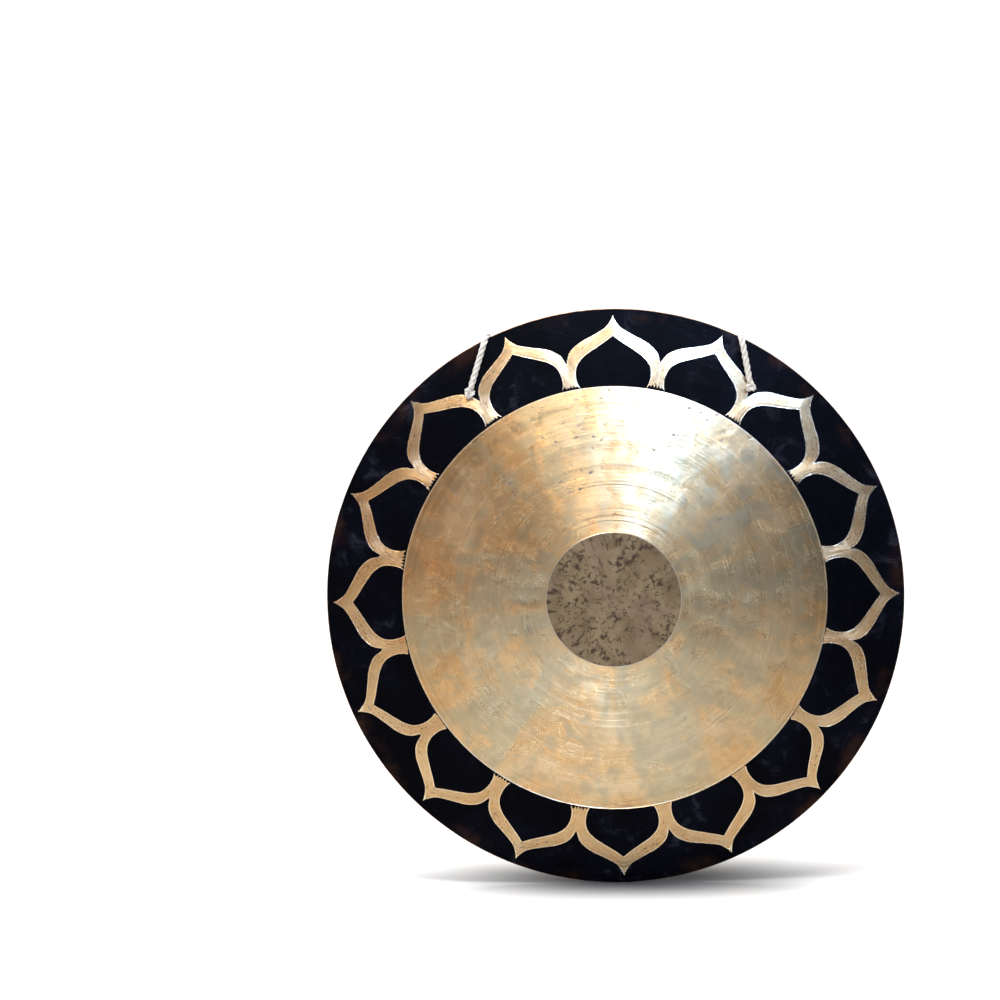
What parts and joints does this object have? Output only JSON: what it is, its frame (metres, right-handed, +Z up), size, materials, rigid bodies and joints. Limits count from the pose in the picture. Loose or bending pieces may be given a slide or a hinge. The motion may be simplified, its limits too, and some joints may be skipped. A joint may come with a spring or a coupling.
{
  "type": "wind gong",
  "caption": "Rimless round bronze gong with a dark border, a scraped ring of lotus petals, a bright lathed disc and a raw centre, hung by white cord loops.",
  "frame": {"origin": "midpoint between the two hang holes, at the middle of the plate's thickness", "axes": "+Z up towards the stand that holds the gong, +Y towards the back of the plate, so the struck face looks towards -Y, and +X to the right as a player sees the face"},
  "size_m": [0.5999, 0.0385, 0.6],
  "materials": {
    "bronze": "lathed bronze with a black oxide border",
    "cord": "twisted white cord"
  },
  "bodies": {
    "root": {"gong_plate": "bronze", "left_cord": "cord", "left_knot": "cord", "right_cord": "cord", "right_knot": "cord"}
  },
  "joints": []
}
